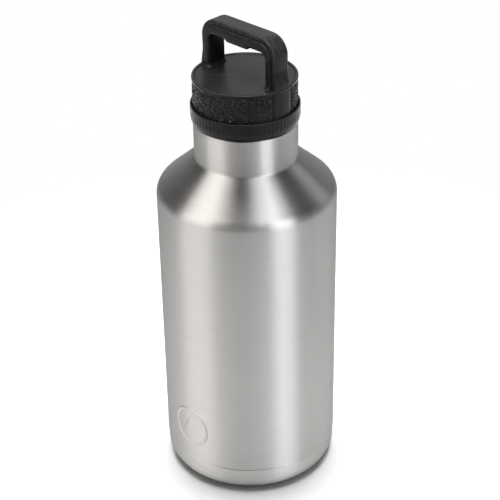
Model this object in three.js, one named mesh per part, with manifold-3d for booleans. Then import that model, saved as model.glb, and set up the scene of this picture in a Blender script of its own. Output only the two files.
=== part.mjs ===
// Vacuum-insulated steel growler with a two-piece screw lid and a fixed carry handle.
//
// Frame: millimetres, +Z up, origin at the centre of the standing ring on the underside. The handle's
// loop lies in the XZ plane, so its opening is looked through along Y. The lid is shown closed.
//
// From the bottom up it comes apart as: the double-walled steel bottle, the spout base that screws into
// the bottle's neck, and the cap with its handle that screws onto the spout.

import * as THREE from 'three';
import { mergeVertices } from 'three/addons/utils/BufferGeometryUtils.js';
import Module from 'manifold-3d';

const wasm = await Module();
wasm.setup();

// ---------- driving dimensions ----------

const GAP = 0.3; // clearance left between pieces that touch
const STEEL = 0.7; // sheet thickness of the outer shell and the liner

const BODY_RADIUS = 57.5;
const SEAM_HEIGHT = 19; // lower edge of the outer shell, where the base cup begins
const SHOULDER_HEIGHT = 206; // where the straight wall would meet the cone
const SHOULDER_FILLET = 10;
const NECK_RADIUS = 32.7;
const NECK_FOOT = 227.4; // where the cone would meet the neck
const NECK_FILLET = 2;
const RIM_HEIGHT = 251.4; // top of the steel mouth

const BASE_RADIUS = 57.1;
const BASE_CORNER = 11;
const BASE_SHEET = 0.8;
const RECESS_RADIUS = 39.5;
const RECESS_DEPTH = 2.4;

const VACUUM_GAP = 2.8; // between the outer shell and the liner, in the body
const NECK_GAP = 1.6; // the same, in the neck
const LINER_FOOT = 26; // lower edge of the liner, where its bottom cup is welded on
const LINER_BOTTOM_FOOT = 12;

const COLLAR_RADIUS = 34.2;
const COLLAR_FOOT = RIM_HEIGHT + 0.4;
const COLLAR_TOP = 263.5;
const COLLAR_BORE = 33.15;

const PLUG_FOOT = 234;
const PLUG_RADIUS = 27.9;
const DECK_FOOT = RIM_HEIGHT + 2; // underside of the spout base's flange
const DECK_TOP = DECK_FOOT + 3;
const SPOUT_RADIUS = 23.5;
const SPOUT_BORE = 20.5;
const SPOUT_TOP = 272;

const CAP_RADIUS = 32.5;
const CAP_WALL = 2.2;
const CAP_FOOT = 262.6;
const CAP_TOP = 281.7;
const CAP_PLATE = 2.5;
const CAP_EDGE = 1.4;
const PANEL_RADIUS = 32.75; // smooth panels under the handle's legs

const HANDLE_TOP = 312.9;
const HANDLE_HALF_SPAN = 31;
const HANDLE_CORNER = 12;
const STRAP_THICKNESS = 3; // the handle's outer strap, moulded with the cap
const STRAP_WIDTH = 12.2;
const GRIP_WIDTH = 14.2; // the grip that lines the strap
const LEG_THICKNESS = 7.3;
const BAR_THICKNESS = 9.2;
const PAD_HALF_LENGTH = 11;
const PAD_DEPTH = 1.8;

const THREAD_LEAD = 8; // rise per turn of both two-start threads
const THREAD_STARTS = 2;
const THREAD_FOOT_WIDTH = 1.7;
const THREAD_CREST_WIDTH = 0.8;

const LARGE_SIDES = 48;
const SMALL_SIDES = 32;
const ARC_STEP = Math.PI / 9; // angle of one step of a rounded corner
const SMALL_FILLET = 2.5; // corners rounded less than this are drawn in two steps

// ---------- materials ----------

function material(color, roughness, metalness = 0) {
  return new THREE.MeshStandardMaterial({ color, roughness, metalness });
}

const brushedSteel = material(0xbdbcb9, 0.32, 1);
const plainSteel = material(0xa9a8a5, 0.4, 1);
const copperFoil = material(0xb87349, 0.3, 1);
const blackPlastic = material(0x1d1e20, 0.5);
const gripPlastic = material(0x1a1b1d, 0.65);
const siliconeRubber = material(0x8d9092, 0.7);
const foam = material(0xe8e3d2, 0.95);
const getterAlloy = material(0x55585c, 0.6, 1);
const sealGlass = material(0x2e3236, 0.2);

// ---------- solids ----------

// A closed three.js geometry as a manifold-3d solid, facing outwards.
function solid(geometry) {
  const bare = geometry.clone();
  bare.deleteAttribute('normal');
  bare.deleteAttribute('uv');
  const merged = mergeVertices(bare, 1e-4);
  const position = merged.attributes.position.array;
  const index = merged.index.array;
  const kept = [];
  for (let i = 0; i < index.length; i += 3) {
    const [a, b, c] = [index[i], index[i + 1], index[i + 2]];
    if (a !== b && b !== c && c !== a) kept.push(a, b, c);
  }
  const build = (triangles) =>
    new wasm.Manifold(
      new wasm.Mesh({ numProp: 3, vertProperties: position, triVerts: new Uint32Array(triangles) }),
    );
  const made = build(kept);
  if (made.volume() > 0) return made;
  for (let i = 0; i < kept.length; i += 3) [kept[i + 1], kept[i + 2]] = [kept[i + 2], kept[i + 1]];
  return build(kept);
}

function join(first, ...others) {
  return others.reduce((sum, next) => sum.add(next), first);
}

const group = new THREE.Group();
group.name = 'growler';

function addPart(name, made, look) {
  const { vertProperties, triVerts } = made.getMesh();
  const geometry = new THREE.BufferGeometry();
  geometry.setAttribute('position', new THREE.BufferAttribute(vertProperties, 3));
  geometry.setIndex(new THREE.BufferAttribute(triVerts, 1));
  geometry.computeVertexNormals();
  const mesh = new THREE.Mesh(geometry, look);
  mesh.name = name;
  group.add(mesh);
}

// Corners [radius, height, fillet] as a list of points, with each fillet drawn as an arc.
function filleted(corners, closed) {
  const points = [];
  const count = corners.length;
  corners.forEach(([x, y, fillet = 0], i) => {
    const here = new THREE.Vector2(x, y);
    if (!fillet || (!closed && (i === 0 || i === count - 1))) {
      points.push(here);
      return;
    }
    const [px, py] = corners[(i + count - 1) % count];
    const [nx, ny] = corners[(i + 1) % count];
    const back = new THREE.Vector2(px, py).sub(here).normalize();
    const ahead = new THREE.Vector2(nx, ny).sub(here).normalize();
    const half = Math.acos(THREE.MathUtils.clamp(back.dot(ahead), -1, 1)) / 2;
    const centre = back.clone().add(ahead).normalize().multiplyScalar(fillet / Math.sin(half)).add(here);
    const start = back.clone().multiplyScalar(fillet / Math.tan(half)).add(here).sub(centre);
    const turn = Math.sign(back.cross(ahead)) * (Math.PI - 2 * half);
    const steps = fillet < SMALL_FILLET ? 2 : Math.max(2, Math.round(Math.abs(turn) / ARC_STEP));
    for (let k = 0; k <= steps; k++) {
      points.push(start.clone().rotateAround(new THREE.Vector2(), (-turn * k) / steps).add(centre));
    }
  });
  return points;
}

// A section [radius, height, fillet] turned about Z. It starts and ends on the axis, or closes on itself.
function turned(corners, sides = SMALL_SIDES) {
  const onAxis = corners[0][0] === 0;
  const points = filleted(corners, !onAxis);
  if (!onAxis) points.push(points[0].clone());
  return solid(new THREE.LatheGeometry(points, sides).rotateX(Math.PI / 2));
}

function ring(innerRadius, outerRadius, foot, top, sides = SMALL_SIDES) {
  return turned(
    [
      [innerRadius, foot],
      [outerRadius, foot],
      [outerRadius, top],
      [innerRadius, top],
    ],
    sides,
  );
}

function disc(radius, foot, top, sides = SMALL_SIDES) {
  return turned(
    [
      [0, foot],
      [radius, foot],
      [radius, top],
      [0, top],
    ],
    sides,
  );
}

function box(width, depth, foot, top) {
  return solid(new THREE.BoxGeometry(width, depth, top - foot).translate(0, 0, (foot + top) / 2));
}

// One ridge of a two-start thread on a round wall, between two heights of its centre line. A straight
// bar is bent along the helix, and its crest fades into the wall over the last eighth of a turn.
function threadRidge(wallRadius, crestRadius, helixHeight, foot, top, start) {
  const bite = 0.35 * Math.sign(wallRadius - crestRadius);
  const turns = (top - foot) / THREAD_LEAD;
  const bar = new THREE.BoxGeometry(1, 1, 1, Math.ceil(turns * 24), 1, 1);
  const position = bar.attributes.position;
  for (let i = 0; i < position.count; i++) {
    const along = position.getX(i) + 0.5;
    const outwards = position.getY(i) + 0.5;
    const side = position.getZ(i);
    const fade = Math.min(1, 0.1 + 8 * turns * Math.min(along, 1 - along));
    const crest = wallRadius + (crestRadius - wallRadius) * fade;
    const radius = outwards ? crest : wallRadius + bite;
    const width = outwards ? THREAD_CREST_WIDTH : THREAD_FOOT_WIDTH;
    const height = foot + along * (top - foot);
    const angle = 2 * Math.PI * ((height - helixHeight) / THREAD_LEAD + start / THREAD_STARTS);
    position.setXYZ(i, radius * Math.cos(angle), radius * Math.sin(angle), height + side * width);
  }
  return solid(bar);
}

function threaded(body, wallRadius, crestRadius, helixHeight, foot, top) {
  for (let start = 0; start < THREAD_STARTS; start++) {
    body = body.add(threadRidge(wallRadius, crestRadius, helixHeight, foot, top, start));
  }
  return body;
}

// ---------- the steel bottle ----------

// The outer surface's two shoulder corners, moved inwards by one distance in the body and cone, and by
// another in the neck.
function shoulderInset(bodyInset, neckInset) {
  const cone = new THREE.Vector2(NECK_RADIUS - BODY_RADIUS, NECK_FOOT - SHOULDER_HEIGHT).normalize();
  const start = new THREE.Vector2(BODY_RADIUS, SHOULDER_HEIGHT).add(
    new THREE.Vector2(-cone.y, cone.x).multiplyScalar(bodyInset),
  );
  const heightAt = (radius) => start.y + ((radius - start.x) * cone.y) / cone.x;
  const bodyRadius = BODY_RADIUS - bodyInset;
  const neckRadius = NECK_RADIUS - neckInset;
  return { bodyRadius, neckRadius, shoulder: heightAt(bodyRadius), neckFoot: heightAt(neckRadius) };
}

function outerShell() {
  const inside = shoulderInset(STEEL, STEEL);
  return turned(
    [
      [inside.bodyRadius, SEAM_HEIGHT],
      [BODY_RADIUS, SEAM_HEIGHT],
      [BODY_RADIUS, SHOULDER_HEIGHT, SHOULDER_FILLET],
      [NECK_RADIUS, NECK_FOOT, NECK_FILLET],
      [NECK_RADIUS, RIM_HEIGHT],
      [inside.neckRadius, RIM_HEIGHT],
      [inside.neckRadius, inside.neckFoot, NECK_FILLET],
      [inside.bodyRadius, inside.shoulder, SHOULDER_FILLET - STEEL],
    ],
    LARGE_SIDES,
  );
}

const LINER_OUTSIDE = shoulderInset(STEEL + VACUUM_GAP, STEEL + NECK_GAP);
const LINER_INSIDE = shoulderInset(2 * STEEL + VACUUM_GAP, 2 * STEEL + NECK_GAP);
const NECK_THREAD_CREST = LINER_INSIDE.neckRadius - 1.2;
const NECK_HELIX = 237;

function innerLiner() {
  const lip = NECK_RADIUS - STEEL - GAP;
  const vessel = turned(
    [
      [LINER_INSIDE.bodyRadius, LINER_FOOT + GAP],
      [LINER_OUTSIDE.bodyRadius, LINER_FOOT + GAP],
      [LINER_OUTSIDE.bodyRadius, LINER_OUTSIDE.shoulder, 6],
      [LINER_OUTSIDE.neckRadius, LINER_OUTSIDE.neckFoot, 3],
      [LINER_OUTSIDE.neckRadius, RIM_HEIGHT - STEEL],
      [lip, RIM_HEIGHT - STEEL],
      [lip, RIM_HEIGHT],
      [LINER_INSIDE.neckRadius, RIM_HEIGHT],
      [LINER_INSIDE.neckRadius, LINER_INSIDE.neckFoot, 3],
      [LINER_INSIDE.bodyRadius, LINER_INSIDE.shoulder, 6],
    ],
    LARGE_SIDES,
  );
  return threaded(vessel, LINER_INSIDE.neckRadius, NECK_THREAD_CREST, NECK_HELIX + 2, 240, 249);
}

function linerBottom() {
  const foot = LINER_BOTTOM_FOOT;
  return turned(
    [
      [0, foot],
      [LINER_OUTSIDE.bodyRadius, foot, 8],
      [LINER_OUTSIDE.bodyRadius, LINER_FOOT],
      [LINER_INSIDE.bodyRadius, LINER_FOOT],
      [LINER_INSIDE.bodyRadius, foot + STEEL, 8 - STEEL],
      [0, foot + STEEL],
    ],
    LARGE_SIDES,
  );
}

const VACUUM_BOTTOM_FOOT = 8;

// The pressure-tight bottom behind the base cup, with the hole that the air was pumped out through.
function vacuumBottom() {
  const inShell = BODY_RADIUS - STEEL - GAP;
  const inCup = BASE_RADIUS - BASE_SHEET - GAP;
  const dish = turned(
    [
      [0, VACUUM_BOTTOM_FOOT],
      [inCup, VACUUM_BOTTOM_FOOT, 8],
      [inCup, SEAM_HEIGHT],
      [inShell, SEAM_HEIGHT + 2],
      [inShell, SEAM_HEIGHT + 6],
      [inShell - STEEL, SEAM_HEIGHT + 6],
      [inShell - STEEL, SEAM_HEIGHT + 2],
      [inCup - STEEL, SEAM_HEIGHT],
      [inCup - STEEL, VACUUM_BOTTOM_FOOT + STEEL, 8 - STEEL],
      [0, VACUUM_BOTTOM_FOOT + STEEL],
    ],
    LARGE_SIDES,
  );
  return dish.subtract(disc(1.6, VACUUM_BOTTOM_FOOT - 1, VACUUM_BOTTOM_FOOT + 2, 16));
}

function portSeal() {
  return turned(
    [
      [0, 6],
      [4, 6, 1],
      [4, VACUUM_BOTTOM_FOOT - GAP],
      [0, VACUUM_BOTTOM_FOOT - GAP],
    ],
    20,
  );
}

const GETTER_OFFSET = 24;

function getterClip() {
  const foot = VACUUM_BOTTOM_FOOT + STEEL + GAP;
  return box(17, 8, foot, foot + 0.4).translate([GETTER_OFFSET, 0, 0]);
}

function getterPellet() {
  const foot = VACUUM_BOTTOM_FOOT + STEEL + GAP + 0.4 + GAP;
  return disc(3.6, foot, foot + 1.4, 24).translate([GETTER_OFFSET, 0, 0]);
}

function foilWrap() {
  const inside = LINER_OUTSIDE.bodyRadius + GAP;
  return ring(inside, inside + GAP, LINER_FOOT, SHOULDER_HEIGHT - 8, LARGE_SIDES);
}

function baseCup() {
  const standing = BASE_RADIUS - BASE_CORNER;
  return turned(
    [
      [0, RECESS_DEPTH],
      [RECESS_RADIUS, RECESS_DEPTH],
      [RECESS_RADIUS + RECESS_DEPTH, 0],
      [standing, 0],
      [BASE_RADIUS, 0, BASE_CORNER],
      [BASE_RADIUS, SEAM_HEIGHT - GAP],
      [BASE_RADIUS - BASE_SHEET, SEAM_HEIGHT - GAP],
      [BASE_RADIUS - BASE_SHEET, BASE_SHEET, BASE_CORNER - BASE_SHEET],
      [RECESS_RADIUS + RECESS_DEPTH + 0.3, BASE_SHEET],
      [RECESS_RADIUS + 0.3, RECESS_DEPTH + BASE_SHEET],
      [0, RECESS_DEPTH + BASE_SHEET],
    ],
    LARGE_SIDES,
  );
}

// ---------- the spout base ----------

const SPOUT_THREAD_CREST = 24.8;
const SPOUT_HELIX = 259.5;

function spoutBase() {
  const boreWall = 19;
  const cavityTop = RIM_HEIGHT - 1;
  const body = turned([
    [boreWall, PLUG_FOOT],
    [21, PLUG_FOOT],
    [21, cavityTop],
    [PLUG_RADIUS - 2, cavityTop],
    [PLUG_RADIUS - 2, PLUG_FOOT],
    [PLUG_RADIUS, PLUG_FOOT],
    [PLUG_RADIUS, DECK_FOOT],
    [31.3, DECK_FOOT],
    [31.3, DECK_TOP],
    [SPOUT_RADIUS, DECK_TOP],
    [SPOUT_RADIUS, SPOUT_TOP, 1.2],
    [SPOUT_BORE, SPOUT_TOP, 1.2],
    [SPOUT_BORE, DECK_TOP + 2],
    [boreWall, DECK_TOP],
  ]);
  const plugged = threaded(body, PLUG_RADIUS, 29.2, NECK_HELIX, 237, 248);
  return threaded(plugged, SPOUT_RADIUS, SPOUT_THREAD_CREST, SPOUT_HELIX, 259.5, 269.5);
}

function collarRing() {
  return turned(
    [
      [31.6, COLLAR_FOOT],
      [33.1, COLLAR_FOOT],
      [COLLAR_RADIUS, COLLAR_FOOT + 2, 1],
      [COLLAR_RADIUS, COLLAR_TOP, 0.5],
      [COLLAR_BORE, COLLAR_TOP],
      [COLLAR_BORE, DECK_TOP + 0.8],
      [31.6, DECK_TOP + 0.8],
    ],
    LARGE_SIDES,
  );
}

function neckGasket() {
  return ring(28.6, 31.2, RIM_HEIGHT + GAP, DECK_FOOT - GAP);
}

function plugFoam() {
  return ring(21 + GAP, PLUG_RADIUS - 2 - GAP, PLUG_FOOT + GAP, RIM_HEIGHT - 1 - GAP);
}

function plugCover() {
  return ring(19, PLUG_RADIUS, PLUG_FOOT - GAP - 1.2, PLUG_FOOT - GAP);
}

// ---------- the cap and its handle ----------

function extrudedAcross(shape, width) {
  const geometry = new THREE.ExtrudeGeometry(shape, { depth: width, bevelEnabled: false, curveSegments: 7 });
  return solid(geometry.rotateX(Math.PI / 2).translate(0, width / 2, 0));
}

// Adds one side of an upside-down U to a path, from its left foot to its right one or back again.
function arch(path, halfSpan, top, corner, foot, back, pad = 0) {
  if (!back) {
    path.moveTo(-halfSpan, foot);
    path.lineTo(-halfSpan, top - corner);
    path.absarc(-halfSpan + corner, top - corner, corner, Math.PI, Math.PI / 2, true);
    path.lineTo(halfSpan - corner, top);
    path.absarc(halfSpan - corner, top - corner, corner, Math.PI / 2, 0, true);
    path.lineTo(halfSpan, foot);
    return;
  }
  path.lineTo(halfSpan, foot);
  path.lineTo(halfSpan, top - corner);
  path.absarc(halfSpan - corner, top - corner, corner, 0, Math.PI / 2, false);
  if (pad) {
    path.lineTo(PAD_HALF_LENGTH, top);
    path.quadraticCurveTo(PAD_HALF_LENGTH - 1, top - pad, PAD_HALF_LENGTH - 3, top - pad);
    path.lineTo(3 - PAD_HALF_LENGTH, top - pad);
    path.quadraticCurveTo(1 - PAD_HALF_LENGTH, top - pad, -PAD_HALF_LENGTH, top);
  }
  path.lineTo(-halfSpan + corner, top);
  path.absarc(-halfSpan + corner, top - corner, corner, Math.PI / 2, Math.PI, false);
  path.lineTo(-halfSpan, foot);
}

function handleStrap() {
  const shape = new THREE.Shape();
  const foot = CAP_TOP - 1;
  const inset = STRAP_THICKNESS;
  arch(shape, HANDLE_HALF_SPAN, HANDLE_TOP, HANDLE_CORNER, foot, false);
  arch(shape, HANDLE_HALF_SPAN - inset, HANDLE_TOP - inset, HANDLE_CORNER - inset, foot, true);
  return extrudedAcross(shape, STRAP_WIDTH);
}

function handleGrip() {
  const shape = new THREE.Shape();
  const foot = CAP_TOP + GAP;
  const inset = STRAP_THICKNESS + GAP;
  arch(shape, HANDLE_HALF_SPAN - inset, HANDLE_TOP - inset, HANDLE_CORNER - inset, foot, false);
  arch(shape, HANDLE_HALF_SPAN - LEG_THICKNESS, HANDLE_TOP - BAR_THICKNESS, 4, foot, true, PAD_DEPTH);
  return extrudedAcross(shape, GRIP_WIDTH);
}

function capShell() {
  const inside = CAP_RADIUS - CAP_WALL;
  const shell = turned(
    [
      [0, CAP_TOP - CAP_PLATE],
      [inside, CAP_TOP - CAP_PLATE],
      [inside, CAP_FOOT],
      [CAP_RADIUS, CAP_FOOT],
      [CAP_RADIUS, CAP_TOP, CAP_EDGE],
      [0, CAP_TOP],
    ],
    LARGE_SIDES,
  );
  const panels = ring(inside + 0.5, PANEL_RADIUS, CAP_FOOT, CAP_TOP - 0.8, LARGE_SIDES).intersect(
    box(2 * PANEL_RADIUS, GRIP_WIDTH, CAP_FOOT - 1, CAP_TOP),
  );
  return join(shell, panels, handleStrap());
}

const LINER_WALL = 25.3; // inner wall of the cap's threaded liner
const LINER_RADIUS = 27.3;
const LINER_TOP = 275.6;

function capLiner() {
  const flange = CAP_RADIUS - CAP_WALL - GAP;
  const cup = turned([
    [0, LINER_TOP - 2],
    [LINER_WALL, LINER_TOP - 2],
    [LINER_WALL, CAP_FOOT + 0.4],
    [flange, CAP_FOOT + 0.4],
    [flange, CAP_FOOT + 2],
    [LINER_RADIUS, CAP_FOOT + 2],
    [LINER_RADIUS, LINER_TOP],
    [0, LINER_TOP],
  ]);
  return threaded(cup, LINER_WALL, LINER_WALL - 1.2, SPOUT_HELIX + 2, 264, 271);
}

function capFoam() {
  const outside = CAP_RADIUS - CAP_WALL - GAP;
  return turned([
    [0, LINER_TOP + GAP],
    [LINER_RADIUS + GAP, LINER_TOP + GAP],
    [LINER_RADIUS + GAP, CAP_FOOT + 2 + GAP],
    [outside, CAP_FOOT + 2 + GAP],
    [outside, CAP_TOP - CAP_PLATE - GAP],
    [0, CAP_TOP - CAP_PLATE - GAP],
  ]);
}

function capGasket() {
  return ring(SPOUT_BORE - 1, SPOUT_RADIUS + 1, SPOUT_TOP + GAP, LINER_TOP - 2 - GAP);
}

// ---------- the assembly ----------

addPart('outer_shell', outerShell(), brushedSteel);
addPart('inner_liner', innerLiner(), plainSteel);
addPart('liner_bottom', linerBottom(), plainSteel);
addPart('foil_wrap', foilWrap(), copperFoil);
addPart('vacuum_bottom', vacuumBottom(), plainSteel);
addPart('port_seal', portSeal(), sealGlass);
addPart('getter_clip', getterClip(), plainSteel);
addPart('getter_pellet', getterPellet(), getterAlloy);
addPart('base_cup', baseCup(), brushedSteel);

addPart('neck_gasket', neckGasket(), siliconeRubber);
addPart('spout_base', spoutBase(), blackPlastic);
addPart('collar_ring', collarRing(), blackPlastic);
addPart('plug_foam', plugFoam(), foam);
addPart('plug_cover', plugCover(), blackPlastic);

addPart('cap_gasket', capGasket(), siliconeRubber);
addPart('cap_shell', capShell(), blackPlastic);
addPart('handle_grip', handleGrip(), gripPlastic);
addPart('cap_liner', capLiner(), blackPlastic);
addPart('cap_foam', capFoam(), foam);

export default group;
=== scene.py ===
"""Vacuum-insulated steel growler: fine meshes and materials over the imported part."""

import math

import bmesh
import bpy
import numpy as np
from mathutils import Matrix, Vector


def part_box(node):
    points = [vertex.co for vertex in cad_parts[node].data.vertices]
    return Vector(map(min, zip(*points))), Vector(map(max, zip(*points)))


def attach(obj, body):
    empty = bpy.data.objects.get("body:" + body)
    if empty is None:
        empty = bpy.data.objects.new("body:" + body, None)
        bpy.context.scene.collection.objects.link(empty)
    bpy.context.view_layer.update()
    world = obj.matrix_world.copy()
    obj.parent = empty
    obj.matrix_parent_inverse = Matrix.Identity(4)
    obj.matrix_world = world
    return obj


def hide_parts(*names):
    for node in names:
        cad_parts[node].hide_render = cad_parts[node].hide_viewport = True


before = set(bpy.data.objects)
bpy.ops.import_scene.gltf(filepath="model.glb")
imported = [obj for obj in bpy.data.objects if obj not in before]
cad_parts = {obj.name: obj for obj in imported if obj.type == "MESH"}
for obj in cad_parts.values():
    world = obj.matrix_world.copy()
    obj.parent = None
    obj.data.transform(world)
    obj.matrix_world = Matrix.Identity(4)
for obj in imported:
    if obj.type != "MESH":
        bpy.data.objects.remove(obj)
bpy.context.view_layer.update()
rng = np.random.default_rng(7)

MM = 0.001

# ---------- sizes taken from the part, in millimetres ----------


def span(node):
    low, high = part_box(node)
    return [v / MM for v in low], [v / MM for v in high]


shell_low, shell_high = span("outer_shell")
BODY = shell_high[0]
SEAM = shell_low[2]
RIM = shell_high[2]
BASE = span("base_cup")[1][0]
COLLAR = span("collar_ring")[1][0]
COLLAR_FOOT = span("collar_ring")[0][2]
COLLAR_TOP = span("collar_ring")[1][2]
CAP_FOOT = span("cap_shell")[0][2]
CAP_PANEL = span("cap_shell")[1][0]
HANDLE_TOP = span("cap_shell")[1][2]
GRIP_HALF_WIDTH = span("handle_grip")[1][1]
CAP_TOP = span("handle_grip")[0][2] - 0.3
SPOUT_FOOT, SPOUT_TOP = span("spout_base")[0][2], span("spout_base")[1][2]
DECK = RIM + 2  # underside of the spout base's flange
CAP = CAP_PANEL - 0.25  # the cap's side between the smooth panels
NECK = 32.7
SHOULDER, NECK_FOOT = 206.0, 227.4  # where the cone would meet the wall and the neck
STEEL = 0.7
VACUUM, NECK_VACUUM = 2.8, 1.6
LEAD = 8.0  # rise per turn of both threads
PLUG, PLUG_BORE = 27.9, 19
SPOUT, SPOUT_BORE = 23.5, 20.5
THREAD_DEPTH = 1.2

# Lights pick out what they shine on by these: the whole object, or only what screws out of the bottle.
lid = bpy.data.collections.new("lid")
growler = bpy.data.collections.new("growler")
for cad_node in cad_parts.values():
    growler.objects.link(cad_node)

# ---------- mesh building ----------


def rounded(corners, closed, step=9):
    """The points of a section whose corners (radius, height, fillet) are rounded."""
    points = []
    count = len(corners)
    for i, corner in enumerate(corners):
        here = np.array(corner[:2], float)
        fillet = corner[2] if len(corner) > 2 else 0
        if not fillet or (not closed and i in (0, count - 1)):
            points.append(here)
            continue
        back = np.array(corners[i - 1][:2], float) - here
        ahead = np.array(corners[(i + 1) % count][:2], float) - here
        back /= np.linalg.norm(back)
        ahead /= np.linalg.norm(ahead)
        half = math.acos(float(np.clip(back @ ahead, -1, 1))) / 2
        middle = back + ahead
        centre = here + middle / np.linalg.norm(middle) * fillet / math.sin(half)
        start = here + back * fillet / math.tan(half) - centre
        turn = math.copysign(math.pi - 2 * half, back[0] * ahead[1] - back[1] * ahead[0])
        steps = max(3, math.ceil(abs(math.degrees(turn)) / step))
        for k in range(steps + 1):
            a = -turn * k / steps
            spun = (
                start[0] * math.cos(a) - start[1] * math.sin(a),
                start[0] * math.sin(a) + start[1] * math.cos(a),
            )
            points.append(centre + np.array(spun))
    return np.array(points)


def refined(points, limit, closed):
    """Splits the section's segments so that each is at most limit(radius, height) long."""
    result = []
    count = len(points)
    for i in range(count if closed else count - 1):
        a, b = points[i], points[(i + 1) % count]
        parts = max(1, math.ceil(np.linalg.norm(b - a) / limit(*((a + b) / 2))))
        result += [a + (b - a) * k / parts for k in range(parts)]
    if not closed:
        result.append(points[-1])
    return np.array(result)


def even_angles(count):
    return np.arange(count) * 2 * math.pi / count


def revolve(corners, angles=None, shape=None, limit=None, step=9):
    """A section turned about Z. It starts and ends on the axis, or closes on itself."""
    angles = even_angles(192) if angles is None else angles
    closed = corners[0][0] > 0
    points = rounded(corners, closed, step)
    if limit:
        points = refined(points, limit, closed)
    poles = [] if closed else [points[0], points[-1]]
    rows = points if closed else points[1:-1]
    r, t = np.meshgrid(rows[:, 0], angles, indexing="ij")
    z = np.repeat(rows[:, 1:], len(angles), axis=1)
    if shape:
        r = shape(r, t, z)
    verts = np.stack([r * np.cos(t), r * np.sin(t), z], axis=-1).reshape(-1, 3).tolist()
    m, n = len(rows), len(angles)
    faces = []
    for i in range(m if closed else m - 1):
        low, high = i * n, (i + 1) % m * n
        faces += [(low + j, low + (j + 1) % n, high + (j + 1) % n, high + j) for j in range(n)]
    if poles:
        first = len(verts)
        verts += [[0, 0, poles[0][1]], [0, 0, poles[1][1]]]
        last = (m - 1) * n
        faces += [(first, (j + 1) % n, j) for j in range(n)]
        faces += [(first + 1, last + j, last + (j + 1) % n) for j in range(n)]
    return verts, faces


def loft(sections):
    """A closed skin over a row of closed loops with equal numbers of points."""
    n = len(sections[0])
    verts = [list(p) for loop in sections for p in loop]
    faces = [tuple(range(n)), tuple(range(len(verts) - n, len(verts)))]
    for i in range(len(sections) - 1):
        low, high = i * n, (i + 1) * n
        faces += [(low + j, low + (j + 1) % n, high + (j + 1) % n, high + j) for j in range(n)]
    return verts, faces


def thread(wall, crest, helix, foot, top):
    """The ridges of a two-start thread; crest is inside wall on a female one."""
    bite = 0.3 * math.copysign(1, wall - crest)
    turns = (top - foot) / LEAD
    ridges = []
    for start in range(2):
        loops = []
        count = math.ceil(turns * 120)
        for k in range(count + 1):
            along = k / count
            fade = min(1, 0.1 + 8 * turns * min(along, 1 - along))
            reach = (crest - wall) * fade
            height = foot + along * (top - foot)
            angle = 2 * math.pi * ((height - helix) / LEAD + start / 2)
            section = [
                (bite, -0.85),
                (reach * 0.75, -0.55),
                (reach, -0.3),
                (reach, 0.3),
                (reach * 0.75, 0.55),
                (bite, 0.85),
            ]
            loops.append(
                [
                    ((wall + d) * math.cos(angle), (wall + d) * math.sin(angle), height + h)
                    for d, h in section
                ]
            )
        ridges.append(loft(loops))
    return ridges


def piece(name, shells, look, body, nodes, sharp=38):
    """One visible piece made of closed shells, in place of CAD nodes."""
    bm = bmesh.new()
    for verts, faces in shells:
        made = [bm.verts.new((x * MM, y * MM, z * MM)) for x, y, z in verts]
        for face in faces:
            bm.faces.new([made[i] for i in face])
    bmesh.ops.recalc_face_normals(bm, faces=bm.faces)
    mesh = bpy.data.meshes.new(name)
    bm.to_mesh(mesh)
    bm.free()
    mesh.shade_smooth()
    mesh.set_sharp_from_angle(angle=math.radians(sharp))
    mesh.materials.append(look)
    obj = bpy.data.objects.new(name, mesh)
    bpy.context.scene.collection.objects.link(obj)
    growler.objects.link(obj)
    if body != "bottle":
        lid.objects.link(obj)
    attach(obj, body)
    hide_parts(*nodes)
    return obj


# ---------- materials ----------


def new_material(name):
    look = bpy.data.materials.new(name)
    look.use_nodes = True
    tree = look.node_tree
    return look, tree, tree.nodes["Principled BSDF"]


def node(tree, kind, **settings):
    made = tree.nodes.new(kind)
    for key, value in settings.items():
        setattr(made, key, value)
    return made


def noise(tree, scales, detail=3.0, roughness=0.55):
    """Noise over the object's own coordinates, in metres, stretched by scales per metre."""
    place = node(tree, "ShaderNodeTexCoord")
    stretch = node(tree, "ShaderNodeMapping")
    stretch.inputs["Scale"].default_value = scales
    tree.links.new(place.outputs["Object"], stretch.inputs["Vector"])
    made = node(tree, "ShaderNodeTexNoise")
    made.inputs["Scale"].default_value = 1.0
    made.inputs["Detail"].default_value = detail
    made.inputs["Roughness"].default_value = roughness
    tree.links.new(stretch.outputs["Vector"], made.inputs["Vector"])
    return made.outputs["Fac"]


def ranged(tree, value, low, high, out_low, out_high):
    made = node(tree, "ShaderNodeMapRange")
    for key, number in (
        ("From Min", low),
        ("From Max", high),
        ("To Min", out_low),
        ("To Max", out_high),
    ):
        made.inputs[key].default_value = number
    tree.links.new(value, made.inputs["Value"])
    return made.outputs["Result"]


def calc(tree, operation, a, b):
    made = node(tree, "ShaderNodeMath", operation=operation)
    for socket, value in zip(made.inputs, (a, b)):
        if isinstance(value, (int, float)):
            socket.default_value = value
        else:
            tree.links.new(value, socket)
    return made.outputs[0]


def two_colours(tree, value, low, high, first, second):
    made = node(tree, "ShaderNodeValToRGB")
    made.color_ramp.elements[0].position = low
    made.color_ramp.elements[0].color = (*first, 1)
    made.color_ramp.elements[1].position = high
    made.color_ramp.elements[1].color = (*second, 1)
    tree.links.new(value, made.inputs["Fac"])
    return made.outputs["Color"]


def bump(tree, height, strength, distance, normal=None):
    made = node(tree, "ShaderNodeBump")
    made.inputs["Strength"].default_value = strength
    made.inputs["Distance"].default_value = distance
    tree.links.new(height, made.inputs["Height"])
    if normal:
        tree.links.new(normal, made.inputs["Normal"])
    return made.outputs["Normal"]


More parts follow.
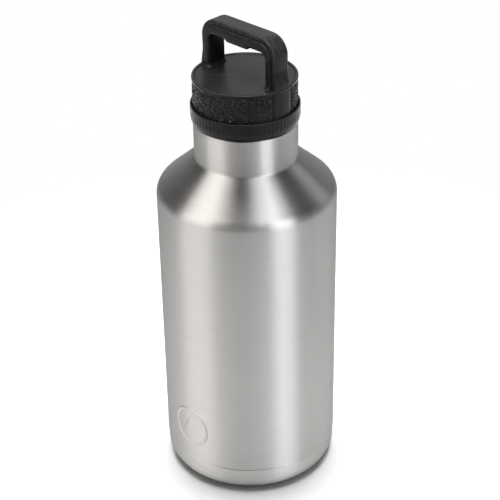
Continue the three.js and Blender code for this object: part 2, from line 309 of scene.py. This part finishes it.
def steel(name, dark, light, roughness, anisotropic, fine, depth):
    """Steel brushed around its axis: long thin scratches in roughness, colour and bump, fine of them
    to the metre of height and depth metres deep. It darkens towards its edges, as steel does."""
    look, tree, shader = new_material(name)
    shader.inputs["Metallic"].default_value = 1.0
    shader.inputs["Specular Tint"].default_value = (0.42, 0.42, 0.42, 1)
    scratches = noise(tree, (55, 55, fine), 4, 0.7)
    broad = noise(tree, (30, 30, fine * 0.22), 3, 0.6)
    mixed = calc(tree, "MULTIPLY_ADD", scratches, 0.6)
    tree.links.new(calc(tree, "MULTIPLY", broad, 0.4), mixed.node.inputs[2])
    cloud = noise(tree, (14, 14, 9), 2, 0.5)
    shade = calc(tree, "MULTIPLY_ADD", mixed, 0.8)
    tree.links.new(calc(tree, "MULTIPLY", cloud, 0.2), shade.node.inputs[2])
    tree.links.new(two_colours(tree, shade, 0.36, 0.66, dark, light), shader.inputs["Base Color"])
    scratched = ranged(tree, mixed, 0.3, 0.7, roughness - 0.05, roughness + 0.05)
    rough = calc(tree, "ADD", scratched, ranged(tree, cloud, 0.35, 0.65, -0.02, 0.02))
    tree.links.new(rough, shader.inputs["Roughness"])
    tree.links.new(bump(tree, scratches, 0.35, depth), shader.inputs["Normal"])
    shader.inputs["Anisotropic"].default_value = anisotropic
    shader.inputs["Anisotropic Rotation"].default_value = 0.25
    around = node(tree, "ShaderNodeTangent", direction_type="RADIAL", axis="Z")
    tree.links.new(around.outputs["Tangent"], shader.inputs["Tangent"])
    return look


def plastic(name, dark, light, roughness, grain, depth, edge_highlight_colour):
    """Moulded plastic: fine spark-eroded grain, cloudy sheen and a slight painted highlight: its pointy
    edges and relief peaks take a paler colour, the last one given, in patches."""
    look, tree, shader = new_material(name)
    fine = noise(tree, (grain, grain, grain), 3, 0.6)
    cloud = noise(tree, (70, 70, 70), 3, 0.5)
    base = two_colours(tree, cloud, 0.3, 0.7, dark, light)
    edge = node(tree, "ShaderNodeNewGeometry").outputs["Pointiness"]
    patchy = noise(tree, (400, 400, 400), 3, 0.6)
    # Painted highlight: pointy edges and relief peaks take a paler colour, in patches, where light
    # would catch them.
    edge_highlight_mask = ranged(tree, edge, 0.515, 0.57, 0, 1)
    painted_edge_highlight = calc(tree, "MULTIPLY", edge_highlight_mask, ranged(tree, patchy, 0.4, 0.6, 0.2, 1))
    blend = node(tree, "ShaderNodeMix", data_type="RGBA")
    tree.links.new(painted_edge_highlight, blend.inputs["Factor"])
    tree.links.new(base, blend.inputs["A"])
    blend.inputs["B"].default_value = (*edge_highlight_colour, 1)
    tree.links.new(blend.outputs["Result"], shader.inputs["Base Color"])
    grained = ranged(tree, fine, 0.3, 0.7, roughness - 0.06, roughness + 0.06)
    rough = calc(tree, "ADD", grained, ranged(tree, cloud, 0.3, 0.7, -0.04, 0.04))
    tree.links.new(rough, shader.inputs["Roughness"])
    tree.links.new(bump(tree, fine, 0.5, depth), shader.inputs["Normal"])
    shader.inputs["Specular IOR Level"].default_value = 0.15
    return look


def plain(name, dark, light, roughness, grain, depth, metallic=0.0):
    """A simple surface with mottled colour and a grain."""
    look, tree, shader = new_material(name)
    shader.inputs["Metallic"].default_value = metallic
    fine = noise(tree, (grain, grain, grain), 4, 0.6)
    tree.links.new(two_colours(tree, fine, 0.35, 0.65, dark, light), shader.inputs["Base Color"])
    rough = ranged(tree, fine, 0.3, 0.7, roughness - 0.08, roughness + 0.08)
    tree.links.new(rough, shader.inputs["Roughness"])
    tree.links.new(bump(tree, fine, 0.6, depth), shader.inputs["Normal"])
    return look


SCRATCH, BRIGHT = (0.475, 0.468, 0.457), (0.56, 0.553, 0.542)
brushed = steel("brushed_steel", SCRATCH, BRIGHT, 0.43, 0.92, 5200, 0.000018)
base_steel = steel("base_steel", SCRATCH, BRIGHT, 0.41, 0.86, 5600, 0.000018)
drawn = steel("drawn_steel", (0.48, 0.475, 0.465), (0.62, 0.615, 0.605), 0.36, 0.4, 1500, 0.00002)
# The last colour of each plastic is the paler one of its painted highlight on edges and relief peaks.
black = plastic(
    "black_plastic",
    (0.0045, 0.0047, 0.0052),
    (0.007, 0.0073, 0.008),
    0.34,
    2600,
    0.00004,
    (0.05, 0.052, 0.055),
)
grip_black = plastic(
    "grip_plastic",
    (0.004, 0.0042, 0.0047),
    (0.006, 0.0063, 0.007),
    0.37,
    3200,
    0.00004,
    (0.03, 0.031, 0.033),
)
silicone = plain("silicone", (0.24, 0.25, 0.26), (0.28, 0.29, 0.3), 0.55, 900, 0.00002)
foam = plain("foam", (0.72, 0.68, 0.58), (0.82, 0.79, 0.7), 0.9, 1400, 0.0003)
foil = plain("copper_foil", (0.72, 0.36, 0.2), (0.86, 0.48, 0.29), 0.28, 160, 0.0006, 1.0)
alloy = plain("getter_alloy", (0.09, 0.095, 0.1), (0.17, 0.18, 0.19), 0.6, 2200, 0.0002, 1.0)
glassy = plain("seal_glass", (0.02, 0.025, 0.03), (0.05, 0.055, 0.06), 0.16, 500, 0.0001)

# ---------- the steel bottle ----------

MARK_HEIGHT = 44.0
MARK_LOW, MARK_HIGH = 27.0, 61.0
MARK_HALF = 17.0
MARK_PROUD = 0.3
RING_RADIUS = 14
DROP_TIP, DROP_MIDDLE, DROP_RADIUS = 7.5, -3.0, 4.6


def smooth(low, high, x):
    t = np.clip((x - low) / (high - low), 0, 1)
    return t * t * (3 - 2 * t)


def mark(u, v):
    """A plain ring with a drop in it, pressed a little proud of the wall."""
    ring = 1 - smooth(0.5, 1.15, abs(np.hypot(u, v) - RING_RADIUS))
    length = DROP_TIP - DROP_MIDDLE
    slope = math.asin(DROP_RADIUS / length)
    below = DROP_TIP - v
    beside = abs(u) * math.cos(slope) - below * math.sin(slope)
    along = abs(u) * math.sin(slope) + below * math.cos(slope)
    round_part = np.hypot(u, v - DROP_MIDDLE) - DROP_RADIUS
    drop = np.where(along > length * math.cos(slope), round_part, beside)
    return MARK_PROUD * np.maximum(ring, 1 - smooth(-0.35, 0.35, drop))


def pressed(r, t, z):
    across = (t + math.pi / 2) * BODY
    near = (abs(across) < MARK_HALF) & (z > MARK_LOW) & (z < MARK_HIGH) & (r > BODY - 0.05)
    return r + np.where(near, mark(across, z - MARK_HEIGHT), 0)


half_mark = MARK_HALF / BODY
mark_angles = np.concatenate(
    [
        -math.pi / 2 + np.linspace(-half_mark, half_mark, 86),
        -math.pi / 2 + np.linspace(half_mark, 2 * math.pi - half_mark, 172)[1:-1],
    ]
)
lean = math.atan2(NECK_FOOT - SHOULDER, BODY - NECK)


def inset(distance, neck_inset):
    """The shoulder's two corners, moved in by distance in the body and cone."""
    x = BODY - distance * math.sin(lean)
    z = SHOULDER - distance * math.cos(lean)
    body, neck = BODY - distance, NECK - neck_inset
    return body, z + (x - body) * math.tan(lean), neck, z + (x - neck) * math.tan(lean)


def fine_mark(r, z):
    return 0.4 if r > BODY - 0.05 and MARK_LOW < z < MARK_HIGH else 30


body_in, shoulder_in, neck_in, foot_in = inset(STEEL, STEEL)
shell = revolve(
    [
        (body_in, SEAM),
        (BODY, SEAM, 0.45),
        (BODY, MARK_LOW),
        (BODY, MARK_HIGH),
        (BODY, SHOULDER, 10),
        (NECK, NECK_FOOT, 2),
        (NECK, RIM, 0.3),
        (neck_in, RIM),
        (neck_in, foot_in, 2),
        (body_in, shoulder_in, 9.3),
    ],
    mark_angles,
    pressed,
    fine_mark,
    step=4,
)
piece("steel_shell", [shell], brushed, "bottle", ["outer_shell"])

RECESS, RECESS_DEPTH = 39.5, 2.4
BASE_SHEET, BASE_CORNER, SEAM_GAP = 0.8, 11, 0.3
BEND = 0.3  # how far the sheet's inner bends lie outside its outer ones
base = revolve(
    [
        (0, RECESS_DEPTH),
        (RECESS, RECESS_DEPTH, 1.2),
        (RECESS + RECESS_DEPTH, 0, 1),
        (BASE - BASE_CORNER, 0),
        (BASE, 0, BASE_CORNER),
        (BASE, SEAM - SEAM_GAP, 0.5),
        (BASE - BASE_SHEET, SEAM - SEAM_GAP),
        (BASE - BASE_SHEET, BASE_SHEET, BASE_CORNER - BASE_SHEET),
        (RECESS + (RECESS_DEPTH + BEND), BASE_SHEET, 0.6),
        (RECESS + BEND, RECESS_DEPTH + BASE_SHEET, 1.2),
        (0, RECESS_DEPTH + BASE_SHEET),
    ],
    step=5,
)
piece("steel_base", [base], base_steel, "bottle", ["base_cup"])

out_body, out_shoulder, out_neck, out_foot = inset(STEEL + VACUUM, STEEL + NECK_VACUUM)
in_body, in_shoulder, in_neck, in_foot = inset(2 * STEEL + VACUUM, 2 * STEEL + NECK_VACUUM)
lip = NECK - STEEL - 0.3
LINER_FOOT = 12
vessel = revolve(
    [
        (0, LINER_FOOT),
        (out_body, LINER_FOOT, 8),
        (out_body, out_shoulder, 6),
        (out_neck, out_foot, 3),
        (out_neck, RIM - STEEL),
        (lip, RIM - STEEL),
        (lip, RIM, 0.3),
        (in_neck, RIM, 0.6),
        (in_neck, in_foot, 3),
        (in_body, in_shoulder, 6),
        (in_body, LINER_FOOT + STEEL, 8 - STEEL),
        (0, LINER_FOOT + STEEL),
    ],
    step=6,
)
neck_thread = thread(in_neck, in_neck - THREAD_DEPTH, 239, 240, 249)
piece(
    "steel_liner",
    [vessel, *neck_thread],
    drawn,
    "bottle",
    ["inner_liner", "liner_bottom"],
)

# ---------- the spout base ----------

FLUTES = 72
FLUTE_DEPTH = 0.14
COLLAR_BORE, COLLAR_SEAT = 33.15, 31.6


def fluted(r, t, z):
    """Flat grip ribs round the collar with narrow grooves between them."""
    phase = (t * FLUTES / (2 * math.pi)) % 1
    groove = 1 - smooth(0.06, 0.2, abs(phase - 0.5))
    above = smooth(COLLAR_FOOT + 1.2, COLLAR_FOOT + 2.6, z)
    below = 1 - smooth(COLLAR_TOP - 1.3, COLLAR_TOP - 0.7, z)
    outside = smooth(COLLAR - 1.6, COLLAR - 0.6, r)
    return r - FLUTE_DEPTH * groove * (above * below) * outside


collar = revolve(
    [
        (COLLAR_SEAT, COLLAR_FOOT),
        (32.9, COLLAR_FOOT, 0.4),
        (33.7, COLLAR_FOOT + 1.8, 2),
        (COLLAR, COLLAR_FOOT + 4.5, 3),
        (COLLAR, COLLAR_TOP, 0.5),
        (COLLAR_BORE, COLLAR_TOP, 0.25),
        (COLLAR_BORE, DECK + 3.8),
        (COLLAR_SEAT, DECK + 3.8),
    ],
    even_angles(FLUTES * 12),
    fluted,
    lambda r, z: 0.6 if r > 32 else 5,
    step=12,
)
piece("collar_grip", [collar], black, "spout", ["collar_ring"], 50)

moulding = revolve(
    [
        (PLUG_BORE, SPOUT_FOOT),
        (PLUG_BORE + 2, SPOUT_FOOT),
        (PLUG_BORE + 2, RIM - 1, 0.5),
        (PLUG - 2, RIM - 1, 0.5),
        (PLUG - 2, SPOUT_FOOT),
        (PLUG, SPOUT_FOOT, 0.3),
        (PLUG, DECK, 0.4),
        (31.3, DECK, 0.3),
        (31.3, DECK + 3, 0.4),
        (SPOUT, DECK + 3, 0.8),
        (SPOUT, SPOUT_TOP, 1.2),
        (SPOUT_BORE, SPOUT_TOP, 1.2),
        (SPOUT_BORE, DECK + 5, 2),
        (PLUG_BORE, DECK + 3, 2),
    ],
    step=12,
)
plug_thread = thread(PLUG, PLUG + 1.3, 237, 237, 248)
spout_thread = thread(SPOUT, SPOUT + 1.3, 259.5, 259.5, 269.5)
piece(
    "spout_moulding",
    [moulding, *plug_thread, *spout_thread],
    black,
    "spout",
    ["spout_base"],
)


def soft_ring(inside, outside, foot, top, edge):
    return revolve(
        [(inside, foot, edge), (outside, foot, edge), (outside, top, edge), (inside, top, edge)],
        step=20,
    )


def ring_box(node):
    low, high = span(node)
    return high[0], low[2], high[2]


outside, foot, top = ring_box("plug_cover")
cover = soft_ring(PLUG_BORE, outside, foot, top, 0.35)
piece("plug_cover_disc", [cover], black, "spout", ["plug_cover"])
outside, foot, top = ring_box("neck_gasket")
neck_seal = soft_ring(28.6, outside, foot, top, 0.5)
piece("neck_seal_ring", [neck_seal], silicone, "neck_seal", ["neck_gasket"])
outside, foot, top = ring_box("cap_gasket")
cap_seal = soft_ring(SPOUT_BORE - 1, outside, foot, top, 0.35)
piece("cap_seal_ring", [cap_seal], silicone, "cap_seal", ["cap_gasket"])

# ---------- the cap ----------

PANEL_HALF = 7.0
GROOVE_WIDTH = 1.5
RELIEF_FOOT, RELIEF_TOP = CAP_FOOT + 1.6, CAP_TOP - 2.2
CELL = 1.6  # size of one facet of the relief
VALLEY_DEPTH = 0.14
GROOVE_DEPTH = 0.45
cells_round = round(2 * math.pi * CAP / CELL)
cells_high = 14
cell_shift = rng.uniform(-0.42, 0.42, (cells_round, cells_high, 2))
cell_tilt = rng.normal(0, 0.42, (cells_round, cells_high, 2))
cell_level = rng.uniform(-0.07, 0.07, (cells_round, cells_high))


def relief(t, z):
    """Irregular tilted facets with sunken valleys between them, as if abraded."""
    u = (t % (2 * math.pi)) * cells_round / (2 * math.pi)
    v = (z - CAP_FOOT) / CELL
    best = np.full(u.shape, 9.0)
    second = np.full(u.shape, 9.0)
    height = np.zeros(u.shape)
    for di in (-1, 0, 1):
        for dj in (-1, 0, 1):
            i = np.floor(u).astype(int) + di
            j = np.clip(np.floor(v).astype(int) + dj, 0, cells_high - 1)
            k = i % cells_round
            du = u - (i + 0.5 + cell_shift[k, j, 0])
            dv = v - (j + 0.5 + cell_shift[k, j, 1])
            far = np.hypot(du, dv)
            facet = cell_level[k, j] + du * cell_tilt[k, j, 0] + dv * cell_tilt[k, j, 1]
            closer = far < best
            second = np.where(closer, best, np.minimum(second, far))
            height = np.where(closer, facet, height)
            best = np.where(closer, far, best)
    valley = 1 - smooth(0.02, 0.2, second - best)
    return np.clip(height - VALLEY_DEPTH * valley, -0.5, 0.3)


def skirt(r, t, z):
    """Relief round the skirt, but smooth panels with a groove at each side below the handle's legs."""
    across = abs(r * np.sin(t))
    band = smooth(RELIEF_FOOT - 0.5, RELIEF_FOOT, z) * (1 - smooth(RELIEF_TOP, RELIEF_TOP + 0.5, z))
    outer = smooth(CAP - 0.6, CAP - 0.35, r)
    textured = smooth(PANEL_HALF + GROOVE_WIDTH, PANEL_HALF + GROOVE_WIDTH + 0.4, across)
    groove = smooth(PANEL_HALF, PANEL_HALF + 0.35, across) * (1 - textured)
    panel = 1 - smooth(PANEL_HALF, PANEL_HALF + 0.35, across)
    whole = (z < RELIEF_TOP + 1.2) * outer
    changed = r + outer * band * textured * relief(t, z) - GROOVE_DEPTH * whole * groove
    return changed + whole * panel * np.clip(CAP_PANEL - 0.1 - changed, 0, 1)


CAP_INSIDE, CAP_PLATE = 30.3, 2.5
cap_body = revolve(
    [
        (0, CAP_TOP - CAP_PLATE),
        (CAP_INSIDE, CAP_TOP - CAP_PLATE),
        (CAP_INSIDE, CAP_FOOT),
        (CAP - 0.1, CAP_FOOT, 0.3),
        (CAP - 0.15, CAP_TOP - 2.0, 0.6),
        (CAP_PANEL, CAP_TOP - 1.3, 0.5),
        (CAP_PANEL, CAP_TOP + 0.25, 0.75),
        (CAP_PANEL - 1.75, CAP_TOP + 0.25, 0.6),
        (CAP_PANEL - 2.2, CAP_TOP - 0.45, 0.4),
        (0, CAP_TOP - 0.45),
    ],
    even_angles(816),
    skirt,
    lambda r, z: 0.27 if r > CAP - 0.5 and z < CAP_TOP - 0.5 else 8,
    step=18,
)


LEG_STEPS = 48


def bar_contour(half, top, corner, foot, bulge=0.0, flare=0.0, flare_from=0.0, flare_to=6.0):
    """Points (x, z) along an upside-down U, which may bulge down in the middle of its bar and flare
    out at its feet, between two heights above the cap's top."""
    points = []

    def leg(z):
        return half + flare * (1 - float(smooth(flare_from, flare_to, z - CAP_TOP)))

    for k in range(LEG_STEPS + 1):
        z = foot + (top - corner - foot) * k / LEG_STEPS
        points.append((-leg(z), z))
    for k in range(1, 17):
        a = math.pi - math.pi / 2 * k / 16
        points.append((-half + corner + corner * math.cos(a), top - corner + corner * math.sin(a)))
    width = half - corner
    for k in range(1, 49):
        x = -width + 2 * width * k / 48
        points.append((x, top - bulge * (1 - smooth(7.8, 11.2, abs(x)))))
    for k in range(1, 17):
        a = math.pi / 2 - math.pi / 2 * k / 16
        points.append((half - corner + corner * math.cos(a), top - corner + corner * math.sin(a)))
    for k in range(1, LEG_STEPS + 1):
        z = top - corner - (top - corner - foot) * k / LEG_STEPS
        points.append((leg(z), z))
    return np.array(points)


def sweep(outer, inner, half_width, outer_edge, inner_edge, spread=0.0, crown=False):
    """A rounded section drawn between two contours; it spreads in width just above the cap.
    A crowned one has its outer face rounded like the cap's side, which it runs down flush with."""
    loops = []
    for o, i in zip(outer, inner):
        thick = np.linalg.norm(i - o)
        ahead = (i - o) / thick
        low = max(0, 1 - (o[1] - CAP_TOP) / 2.2) if o[1] < CAP_TOP + 2.2 else 0
        wide = half_width + spread * low * low
        flat = rounded(
            [
                (0, -wide, outer_edge),
                (thick, -wide, inner_edge),
                (thick, wide, inner_edge),
                (0, wide, outer_edge),
            ],
            True,
            step=22.5,
        )
        arched = 1 - float(smooth(CAP_TOP + 2, HANDLE_TOP - 8, o[1])) if crown else 0
        loop = []
        for s, y in flat:
            s += arched * (CAP_PANEL - math.sqrt(CAP_PANEL**2 - y * y)) * max(0, 1 - s / thick)
            loop.append((o[0] + ahead[0] * s, y, o[1] + ahead[1] * s))
        loops.append(loop)
    return loft(loops)


HALF_SPAN = 31.0
HANDLE_CORNER = 12
STRAP, STRAP_HALF_WIDTH = 3, 6.1
LEG, BAR = 7.3, 9.2  # thickness of the strap and grip together
STRAP_FOOT = CAP_FOOT + 0.3
inner_span, inner_top, inner_corner = HALF_SPAN - STRAP, HANDLE_TOP - STRAP, HANDLE_CORNER - STRAP
strap = sweep(
    bar_contour(HALF_SPAN, HANDLE_TOP, HANDLE_CORNER, STRAP_FOOT, 0, CAP_PANEL - HALF_SPAN, -0.2, 12),
    bar_contour(inner_span, inner_top, inner_corner, STRAP_FOOT, 0, 2.5, -2.5, -0.6),
    STRAP_HALF_WIDTH,
    1.1,
    0.25,
    crown=True,
)
piece("cap_moulding", [cap_body, strap], black, "cap", ["cap_shell"], 42)

under_strap = STRAP + 0.12
grip_foot = CAP_TOP - 0.4
grip = sweep(
    bar_contour(HALF_SPAN - under_strap, HANDLE_TOP - under_strap, 8.9, grip_foot),
    bar_contour(HALF_SPAN - LEG, HANDLE_TOP - BAR, 4, grip_foot, 1.8, -0.9, -0.2, 1.6),
    GRIP_HALF_WIDTH,
    0.5,
    1.3,
    spread=0.7,
)
piece("grip_moulding", [grip], grip_black, "cap", ["handle_grip"])

CUP_BORE, CUP, CUP_TOP = 25.3, 27.3, 275.6
cup = revolve(
    [
        (0, CUP_TOP - 2),
        (CUP_BORE, CUP_TOP - 2, 0.8),
        (CUP_BORE, CAP_FOOT + 0.4, 0.4),
        (CAP_INSIDE - 0.3, CAP_FOOT + 0.4),
        (CAP_INSIDE - 0.3, CAP_FOOT + 2),
        (CUP, CAP_FOOT + 2),
        (CUP, CUP_TOP, 1),
        (0, CUP_TOP),
    ],
    step=15,
)
cap_thread = thread(CUP_BORE, CUP_BORE - THREAD_DEPTH, 261.5, 264, 271)
piece("cap_cup", [cup, *cap_thread], black, "cap", ["cap_liner"])

# ---------- the hidden CAD solids keep their shapes and get materials ----------

for name, look in (
    ("foil_wrap", foil),
    ("vacuum_bottom", drawn),
    ("port_seal", glassy),
    ("getter_clip", drawn),
    ("getter_pellet", alloy),
    ("plug_foam", foam),
    ("cap_foam", foam),
):
    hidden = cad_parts[name]
    hidden.data.materials.clear()
    hidden.data.materials.append(look)

# ---------- floor, light and camera ----------

floor_mesh = bpy.data.meshes.new("floor")
reach = 6.0
floor_mesh.from_pydata(
    [(-reach, -reach, 0), (reach, -reach, 0), (reach, reach, 0), (-reach, reach, 0)], [], [(0, 1, 2, 3)]
)
floor_look, floor_tree, floor_shader = new_material("pale_floor")
floor_shader.inputs["Base Color"].default_value = (0.9, 0.9, 0.9, 1)
floor_shader.inputs["Roughness"].default_value = 0.9
floor_shader.inputs["Specular IOR Level"].default_value = 0.1

# Near the object the floor shows the light on it. From LEVEL_FROM outwards, in metres, what is seen
# directly levels off to one pale tone, up to the horizon. What the steel mirrors isn't levelled.
PALE = (1, 1, 1, 1)
LEVEL_FROM, LEVEL_TO = 0.16, 0.42


def seen_directly(tree):
    return node(tree, "ShaderNodeLightPath").outputs["Is Camera Ray"]


place = node(floor_tree, "ShaderNodeTexCoord")
far = node(floor_tree, "ShaderNodeVectorMath", operation="LENGTH")
floor_tree.links.new(place.outputs["Object"], far.inputs[0])
levelled = calc(
    floor_tree,
    "MULTIPLY",
    ranged(floor_tree, far.outputs["Value"], LEVEL_FROM, LEVEL_TO, 0, 1),
    seen_directly(floor_tree),
)
pale = node(floor_tree, "ShaderNodeEmission")
pale.inputs["Color"].default_value = PALE
levelling = node(floor_tree, "ShaderNodeMixShader")
floor_tree.links.new(levelled, levelling.inputs["Fac"])
floor_tree.links.new(floor_shader.outputs["BSDF"], levelling.inputs[1])
floor_tree.links.new(pale.outputs["Emission"], levelling.inputs[2])
floor_tree.links.new(levelling.outputs["Shader"], floor_tree.nodes["Material Output"].inputs["Surface"])
floor_mesh.materials.append(floor_look)
floor = bpy.data.objects.new("floor", floor_mesh)
bpy.context.scene.collection.objects.link(floor)

ELEVATION, AZIMUTH = math.radians(31.118), math.radians(44.94)
DISTANCE = 0.9664
ROLL = math.radians(-0.9685)
right = Vector((math.cos(AZIMUTH), math.sin(AZIMUTH), 0))
back = Vector(
    (
        math.sin(AZIMUTH) * math.cos(ELEVATION),
        -math.cos(AZIMUTH) * math.cos(ELEVATION),
        math.sin(ELEVATION),
    )
)
target = Vector((0, 0, 0.15626)) + right * 0.0014
camera_data = bpy.data.cameras.new("camera")
camera_data.lens = 106.57
camera_data.sensor_width = 36
camera = bpy.data.objects.new("camera", camera_data)
axes = Matrix((right, back.cross(right), back)).transposed()
turned = axes.to_4x4() @ Matrix.Rotation(ROLL, 4, "Z")
camera.matrix_world = Matrix.Translation(target + back * DISTANCE) @ turned
bpy.context.scene.collection.objects.link(camera)
bpy.context.scene.camera = camera


AIM = Vector((0, 0, 0.15))  # the middle of the object


def card(name, azimuth, elevation, distance, width, height, power, colour, lights=growler):
    """A soft rectangular light aimed at the object; azimuth is from the camera's side, in degrees.
    It lights one collection and shows mirrored in it. Without one it lights all, and isn't mirrored."""
    a, e = AZIMUTH + math.radians(azimuth), math.radians(elevation)
    away = Vector((math.sin(a) * math.cos(e), -math.cos(a) * math.cos(e), math.sin(e)))
    data = bpy.data.lights.new(name, "AREA")
    data.shape = "RECTANGLE"
    data.size, data.size_y = width, height
    data.energy = power
    data.color = colour
    light = bpy.data.objects.new(name, data)
    aimed = away.to_track_quat("Z", "Y").to_matrix().to_4x4()
    light.matrix_world = Matrix.Translation(AIM + away * distance) @ aimed
    light.visible_glossy = lights is not None
    light.light_linking.receiver_collection = lights
    light.visible_camera = False
    bpy.context.scene.collection.objects.link(light)


WARM, COOL, WHITE = (1.0, 0.965, 0.93), (0.94, 0.97, 1.0), (1.0, 1.0, 1.0)
card("left_softbox", -72, 52, 2.0, 1.55, 1.18, 19, WARM)
card("left_strip", -66, 14, 2.0, 1.5, 0.9, 12.5, WARM)
card("right_softbox", 37, 60, 2.0, 0.9, 0.85, 11, COOL)
card("right_strip", 44, 16, 2.0, 0.95, 1.0, 16.5, COOL)
card("side_softbox", 120, 28, 2.2, 0.8, 0.9, 2.2, WHITE)
card("back_softbox", 178, 30, 2.4, 2.2, 1.0, 8, WHITE)
card("top_softbox", 180, 74, 2.0, 0.9, 0.6, 12, WHITE)
card("floor_fill", 180, 80, 1.7, 1.5, 1.5, 34, WHITE, None)
card("edge_softbox", -8, 66, 1.8, 0.9, 0.4, 24, WHITE, lid)

# One soft spot whitens the floor round and behind the object and falls off in front of it.
SPOT_HEIGHT, SPOT_BEHIND, SPOT_RADIUS = 3, 0.45, 0.88
spot_data = bpy.data.lights.new("floor_spot", "SPOT")
spot_data.energy = 560
spot_data.spot_size = 2 * math.atan(SPOT_RADIUS / SPOT_HEIGHT)
spot_data.spot_blend = 0.45
spot_data.shadow_soft_size = 0.7
spot = bpy.data.objects.new("floor_spot", spot_data)
spot.location = (-SPOT_BEHIND * math.sin(AZIMUTH), SPOT_BEHIND * math.cos(AZIMUTH), SPOT_HEIGHT)
spot.visible_glossy = False
bpy.context.scene.collection.objects.link(spot)

AMBIENT = 0.05
world = bpy.data.worlds.new("studio")
world.use_nodes = True
backdrop = world.node_tree.nodes["Background"]
backdrop.inputs["Color"].default_value = (1, 1, 1, 1)
world.node_tree.links.new(
    ranged(world.node_tree, seen_directly(world.node_tree), 0, 1, AMBIENT, PALE[0]),
    backdrop.inputs["Strength"],
)
bpy.context.scene.world = world
bpy.context.scene.view_settings.view_transform = "Standard"
